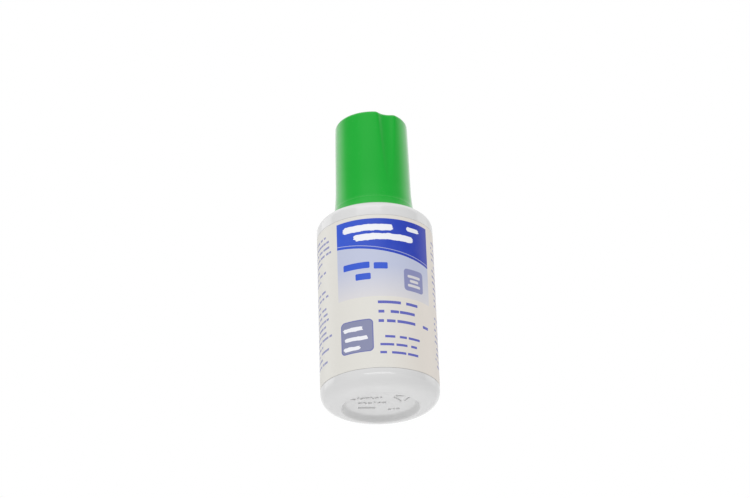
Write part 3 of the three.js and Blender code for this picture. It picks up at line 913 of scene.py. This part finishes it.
def makeStrand():
    # One strand of unit length along z, which thins towards its end
    t = tuft
    clearSelection()
    bpy.ops.mesh.primitive_circle_add(vertices=t["sides"], radius=t["strand"] * mm, fill_type="NGON",
                                      location=(0, 0, 0))
    strand = bpy.context.active_object
    editPiece(strand, "SELECT")
    for i in range(t["rings"]):
        bpy.ops.mesh.extrude_region_move(TRANSFORM_OT_translate={"value": (0, 0, 1 / t["rings"])})
        bpy.ops.transform.resize(value=(t["taper"], t["taper"], 1))
    bpy.ops.mesh.select_all(action="SELECT")
    bpy.ops.mesh.normals_make_consistent(inside=False)
    leaveEdit()
    return strand


def makeTuft():
    t = tuft
    rand = random.Random(t["seed"])
    first = makeStrand()
    strands = []
    golden = math.pi * (3 - math.sqrt(5))
    for i in range(t["count"]):
        share = math.sqrt((i + 0.5) / t["count"])
        angle = i * golden + rand.uniform(-t["spread"], t["spread"])
        sway = Vector((rand.uniform(-1, 1), rand.uniform(-1, 1), 0)) * t["sway"] * mm
        outwards = Vector((math.cos(angle), math.sin(angle), 0)) * share
        root = outwards * (t["rootRadius"] - t["strand"]) * mm
        tip = outwards * (t["tipRadius"] - t["tipGap"]) * mm
        low = t["tip"] + t["rounding"] * (1 - math.sqrt(max(0, 1 - share ** 2))) + rand.uniform(*t["uneven"])
        mesh = first.data.copy()
        for vertex in mesh.vertices:
            down = vertex.co.z
            centre = root.lerp(tip, down ** t["bend"]) + sway * math.sin(math.pi * down * t["swayLength"])
            z = (t["rootTop"] + (low - t["rootTop"]) * down) * mm
            vertex.co = Vector((vertex.co.x + centre.x, vertex.co.y + centre.y, z))
        mesh.flip_normals()
        strands.append(addToScene("strand%03d" % i, mesh))
    bpy.data.objects.remove(first)
    brush = joinPieces(strands)
    brush.name = "brushTuft"
    smoothPiece(brush, 60)
    return brush


def makeBristleNylon():
    t = tuft
    material, tree, shader = newMaterial("bristleNylon")
    add, subtract, multiply, divide = mathTools(tree, "ADD", "SUBTRACT", "MULTIPLY", "DIVIDE")
    place = objectPoint(tree)
    noise = noiseAt(tree, place, t["noiseScale"], 3)
    edge = add(splitPoint(tree, place)[2], multiply(subtract(noise, 0.5), t["fluidUneven"] * mm))
    wet = divide(subtract((t["fluidLine"] + t["fluidSoft"] / 2) * mm, edge), t["fluidSoft"] * mm, clamp=True)
    feed(tree, shader, {
        "Base Color": mixColour(tree, wet, mixColour(tree, noise, *t["tones"]), t["wetTone"]),
        "Roughness": subtract(t["gloss"], multiply(wet, t["wetGloss"]))})
    return material


brushTuft = makeTuft()
dressPiece(brushTuft, makeBristleNylon(), "cap", "brush_bristles")
print("tuft made", len(brushTuft.data.polygons))

# Mixing ball: a cube cut fine and drawn out to a ball, with a film of fluid on the steel
ball = {"radius": 2.4, "fit": 0.998, "cuts": 23, "steel": colour(196, 198, 202),
        "film": colour(236, 236, 234), "filmScale": 500, "filmLimit": 0.6,
        "gloss": 0.08, "glossChange": 0.25}


def makeBall():
    low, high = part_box("mixing_ball")
    clearSelection()
    bpy.ops.mesh.primitive_cube_add(size=2 * ball["radius"] * mm, location=(low + high) / 2)
    sphere = bpy.context.active_object
    sphere.name = "mixingBall"
    editPiece(sphere, "SELECT")
    bpy.ops.mesh.subdivide(number_cuts=ball["cuts"])
    bpy.ops.transform.tosphere(value=1)
    leaveEdit()
    # The draw keeps the mean distance, so the size is set after it
    reach = sum(vertex.co.length for vertex in sphere.data.vertices) / len(sphere.data.vertices)
    sphere.scale = (ball["radius"] * mm * ball["fit"] / reach,) * 3
    applyPlace(sphere)
    smoothPiece(sphere, 180)
    return sphere


def makeBallSteel():
    b = ball
    material, tree, shader = newMaterial("ballSteel")
    swirl = noiseAt(tree, objectPoint(tree), b["filmScale"], 5)
    film = mathNode(tree, "GREATER_THAN", swirl, b["filmLimit"])
    feed(tree, shader, {
        "Base Color": mixColour(tree, film, b["steel"], b["film"]),
        "Metallic": mathNode(tree, "SUBTRACT", 1, film),
        "Roughness": mathNode(tree, "ADD", b["gloss"], mathNode(tree, "MULTIPLY", swirl, b["glossChange"]))})
    return material


mixingBall = makeBall()
dressPiece(mixingBall, makeBallSteel(), "ball", "mixing_ball")
print("ball made")

# Camera at the photograph's angle, from below the front
camera = {"place": (-0.00005, -0.4615, -0.1799), "right": (0.99936, 0.01511, -0.03134),
          "up": (0.03479, -0.43413, 0.90013), "lens": 98.36, "sensor": 36, "clip": (0.01, 10)}


def makeCamera():
    data = bpy.data.cameras.new("photoCamera")
    data.lens, data.sensor_width = camera["lens"], camera["sensor"]
    data.clip_start, data.clip_end = camera["clip"]
    lens = addToScene("photoCamera", data)
    right, up = Vector(camera["right"]).normalized(), Vector(camera["up"]).normalized()
    back = right.cross(up).normalized()
    turn = Matrix((right, back.cross(right), back)).transposed()
    lens.matrix_world = Matrix.Translation(camera["place"]) @ turn.to_4x4()
    bpy.context.scene.camera = lens


# Studio: wide soft lamps, and a white surround that camera, gloss and glass see at full strength
studio = {"surround": 0.77, "aim": (0, 0, 0.035), "floorSize": 12, "floorDrop": 0.02,
          "floorTone": colour(246, 246, 246), "floorShade": 0.985, "floorScale": 30, "floorRoughness": 0.8,
          "cardPlace": (0, -0.52, 0.65), "cardSize": (2.4, 1.3, 2.7), "cardTone": colour(150, 150, 150)}
lamps = [
    {"name": "frontStrip", "place": (0.0, -0.53, 0.03), "size": (0.55, 0.06), "power": 0.5},
    {"name": "leftFront", "place": (-0.45, -0.45, 0.05), "size": (0.5, 0.5), "power": 0.25},
    {"name": "topFront", "place": (-0.08, -0.44, 0.5), "size": (0.5, 0.4), "power": 1.0},
    {"name": "rimLeft", "place": (-0.62, 0.25, 0.3), "size": (0.4, 0.4), "power": 0.4},
    {"name": "rimRight", "place": (0.62, 0.25, 0.3), "size": (0.4, 0.4), "power": 0.24},
    {"name": "underSoft", "place": (0.0, 0.25, -0.54), "size": (0.5, 0.4), "power": 1.5}]


def makeLamp(lamp):
    data = bpy.data.lights.new(lamp["name"], "AREA")
    data.shape = "RECTANGLE"
    data.size, data.size_y = lamp["size"]
    data.energy = lamp["power"]
    light = addToScene(lamp["name"], data)
    light.location = lamp["place"]
    light.rotation_euler = (Vector(studio["aim"]) - light.location).to_track_quat("-Z", "Y").to_euler()
    light.visible_camera = False


def seenRays(tree):
    # Rays from the camera, and those that gloss and glass send on
    path = addNode(tree, "ShaderNodeLightPath").outputs
    direct = mathNode(tree, "MAXIMUM", path["Is Camera Ray"], path["Is Glossy Ray"])
    return mathNode(tree, "MAXIMUM", direct, path["Is Transmission Ray"])


def makeWorld():
    world = bpy.data.worlds.new("studioWorld")
    bpy.context.scene.world = world
    world.use_nodes = True
    tree = world.node_tree
    tree.nodes.clear()
    soft = addNode(tree, "ShaderNodeBackground", {"Color": (1, 1, 1, 1), "Strength": studio["surround"]})
    white = addNode(tree, "ShaderNodeBackground", {"Color": (1, 1, 1, 1), "Strength": 1})
    mix = addNode(tree, "ShaderNodeMixShader", {0: seenRays(tree), 1: soft.outputs[0], 2: white.outputs[0]})
    addNode(tree, "ShaderNodeOutputWorld", {0: mix.outputs[0]})


def makeCard():
    # A grey card round the front, as the dark of a room: only reflections meet it
    clearSelection()
    bpy.ops.mesh.primitive_cube_add(size=1, location=studio["cardPlace"], scale=studio["cardSize"])
    card = newest("greyCard")
    editPiece(card)
    bpy.ops.mesh.select_mode(type="FACE")
    leaveEdit()
    for face in card.data.polygons:
        face.select = face.normal.z > 0.5 or face.normal.y > 0.5
    bpy.ops.object.mode_set(mode="EDIT")
    bpy.ops.mesh.delete(type="FACE")
    leaveEdit()
    material, tree, shader = newMaterial("cardGrey")
    feed(tree, shader, {"Base Color": studio["cardTone"], "Roughness": 1})
    card.data.materials.append(material)
    card.visible_camera = card.visible_diffuse = card.visible_transmission = card.visible_shadow = False


def makeFloor():
    # The photograph looks up at the base, so the floor is seen from above only and lets light through
    s = studio
    clearSelection()
    bpy.ops.mesh.primitive_plane_add(size=s["floorSize"], location=(0, 0, -s["floorDrop"] * mm))
    floor = newest("floor")
    material, tree, shader = newMaterial("floorPale")
    mottle = noiseAt(tree, objectPoint(tree), s["floorScale"], 2)
    tone = mixColour(tree, mottle, s["floorTone"], darker(s["floorTone"], s["floorShade"]))
    feed(tree, shader, {"Base Color": tone, "Roughness": s["floorRoughness"]})
    backfacing = addNode(tree, "ShaderNodeNewGeometry").outputs["Backfacing"]
    shown = mathNode(tree, "MULTIPLY", seenRays(tree), mathNode(tree, "SUBTRACT", 1, backfacing))
    clear = addNode(tree, "ShaderNodeBsdfTransparent")
    mix = addNode(tree, "ShaderNodeMixShader", {0: shown, 1: clear.outputs[0], 2: shader.outputs[0]})
    feed(tree, tree.nodes["Material Output"], {0: mix.outputs[0]})
    floor.data.materials.append(material)


makeCamera()
for lamp in lamps:
    makeLamp(lamp)
makeWorld()
makeCard()
makeFloor()
bpy.context.scene.view_settings.view_transform = "Standard"
print("studio made")
